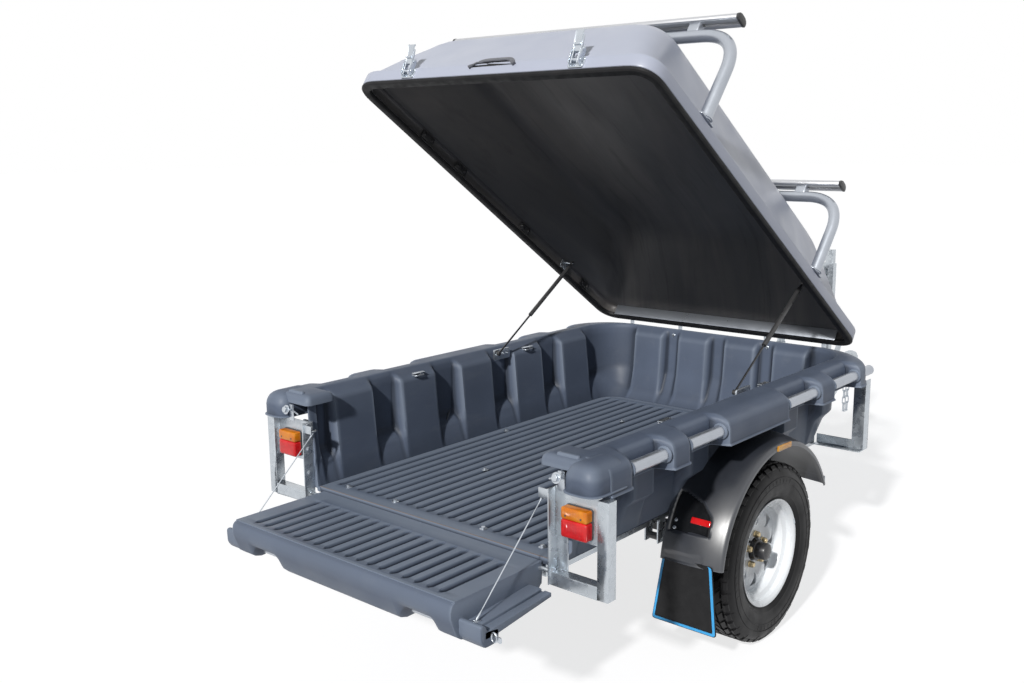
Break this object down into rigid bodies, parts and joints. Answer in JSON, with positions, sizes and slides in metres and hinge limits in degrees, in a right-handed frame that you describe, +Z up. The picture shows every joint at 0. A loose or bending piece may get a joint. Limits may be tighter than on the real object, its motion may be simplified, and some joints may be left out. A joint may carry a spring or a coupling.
{
  "type": "lidded box trailer",
  "caption": "Small box trailer with a moulded ribbed tub, a gas-strutted lid with roof bars, a drop tailgate with stay cables, mudguards, leaf springs, drawbar and jockey wheel.",
  "frame": {"origin": "on the floor, below the middle of the whole trailer", "axes": "+Y forwards along the drawbar, +X to the trailer's right, +Z up"},
  "size_m": [1.55, 3.7795, 2.1735],
  "materials": {
    "tub_plastic": "fine-grained rotomoulded plastic, charcoal",
    "guard_plastic": "satin black moulded plastic",
    "lid_plastic": "smooth pale grey moulded plastic",
    "liner_plastic": "semi-gloss black inner skin",
    "galvanised_steel": "hot-dip galvanised",
    "zinc_tube": "zinc-plated tube",
    "bar_aluminium": "anodised extrusion",
    "black_rubber": "black rubber",
    "tyre_rubber": "tread rubber",
    "white_steel": "white painted steel",
    "black_steel": "black painted steel",
    "lamp_lens": "clear red and amber lens"
  },
  "bodies": {
    "root": {"tub": "tub_plastic", "rail_tube_left": "zinc_tube", "rail_tube_right": "zinc_tube", "rear_frame_left": "galvanised_steel", "rear_frame_right": "galvanised_steel", "tail_light_left": "lamp_lens", "tail_light_right": "lamp_lens", "front_post_left": "galvanised_steel", "front_post_right": "galvanised_steel", "chassis_frame": "galvanised_steel", "leaf_spring_left": "black_steel", "leaf_spring_right": "black_steel", "axle_beam": "black_steel", "guard_left": "guard_plastic", "guard_right": "guard_plastic", "mudflap_left": "black_rubber", "mudflap_right": "black_rubber", "drawbar": "galvanised_steel", "coupling": "galvanised_steel", "safety_chain": "galvanised_steel", "spare_wheel_bracket": "galvanised_steel", "jockey_sleeve": "galvanised_steel", "hinge_rail": "galvanised_steel", "strut_bracket_left": "galvanised_steel", "strut_bracket_right": "galvanised_steel", "stay_cable_left": "galvanised_steel", "stay_cable_right": "galvanised_steel"},
    "lid": {"lid_shell": "lid_plastic", "lid_liner": "liner_plastic", "lid_seal": "black_rubber", "lid_hinge_strip": "galvanised_steel", "crossbar_rear": "bar_aluminium", "crossbar_front": "bar_aluminium", "rack_hoop_rear": "zinc_tube", "rack_hoop_front": "zinc_tube", "lid_latch_left": "zinc_tube", "lid_latch_right": "zinc_tube", "strut_anchor_left": "galvanised_steel", "strut_anchor_right": "galvanised_steel"},
    "tailgate": {"tailgate": "tub_plastic", "tailgate_tube": "zinc_tube", "gate_latch_left": "zinc_tube", "gate_latch_right": "zinc_tube"},
    "wheel_left": {"tyre_left": "tyre_rubber", "rim_left": "white_steel", "hub_left": "black_steel"},
    "wheel_right": {"tyre_right": "tyre_rubber", "rim_right": "white_steel", "hub_right": "black_steel"},
    "strut_cylinder_left": {"strut_cylinder_left": "black_steel"},
    "strut_cylinder_right": {"strut_cylinder_right": "black_steel"},
    "strut_rod_left": {"strut_rod_left": "black_steel"},
    "strut_rod_right": {"strut_rod_right": "black_steel"},
    "jockey_leg": {"jockey_leg": "galvanised_steel"},
    "jockey_fork": {"jockey_fork": "galvanised_steel"},
    "jockey_wheel": {"jockey_wheel": "black_rubber"}
  },
  "joints": [
    {"name": "lid_hinge", "type": "hinge", "parent": "root", "child": "lid", "pos_m": [0, 0.416, 0.922], "axis": [-1, 0, 0], "range_deg": [-34.1, 0]},
    {"name": "tailgate_hinge", "type": "hinge", "parent": "root", "child": "tailgate", "pos_m": [0, -1.51, 0.53], "axis": [-1, 0, 0], "range_deg": [0, 90], "deforming": ["stay_cable_left", "stay_cable_right"]},
    {"name": "jockey_slide", "type": "slide", "parent": "root", "child": "jockey_leg", "axis": [0, 0, 1], "range_m": [-0.11, 0.1]},
    {"name": "jockey_swivel", "type": "hinge", "parent": "jockey_leg", "child": "jockey_fork", "pos_m": [-0.1859, 1.37, 0.28], "axis": [0, 0, 1], "continuous": true},
    {"name": "jockey_wheel_spin", "type": "hinge", "parent": "jockey_fork", "child": "jockey_wheel", "pos_m": [-0.1859, 1.34, 0.1], "axis": [1, 0, 0], "continuous": true},
    {"name": "wheel_left_spin", "type": "hinge", "parent": "root", "child": "wheel_left", "pos_m": [-0.6665, -0.51, 0.325], "axis": [1, 0, 0], "continuous": true},
    {"name": "strut_left_swing", "type": "hinge", "parent": "lid", "child": "strut_cylinder_left", "pos_m": [-0.565, 0.02982, 1.21848], "axis": [-1, 0, 0], "range_deg": [0, 58.2]},
    {"name": "strut_left_stroke", "type": "slide", "parent": "strut_cylinder_left", "child": "strut_rod_left", "axis": [0, 0.8331, 0.5531], "range_m": [0, 0.1975]},
    {"name": "wheel_right_spin", "type": "hinge", "parent": "root", "child": "wheel_right", "pos_m": [0.6665, -0.51, 0.325], "axis": [1, 0, 0], "continuous": true},
    {"name": "strut_right_swing", "type": "hinge", "parent": "lid", "child": "strut_cylinder_right", "pos_m": [0.565, 0.02982, 1.21848], "axis": [-1, 0, 0], "range_deg": [0, 58.2]},
    {"name": "strut_right_stroke", "type": "slide", "parent": "strut_cylinder_right", "child": "strut_rod_right", "axis": [0, 0.8331, 0.5531], "range_m": [0, 0.1975]}
  ],
  "couplings": [
    {"joint": "strut_left_swing", "follows": "lid_hinge", "ratio": -1.6967},
    {"joint": "strut_left_stroke", "follows": "lid_hinge", "m_per_rad": -0.32908},
    {"joint": "strut_right_swing", "follows": "lid_hinge", "ratio": -1.6967},
    {"joint": "strut_right_stroke", "follows": "lid_hinge", "m_per_rad": -0.32908}
  ]
}
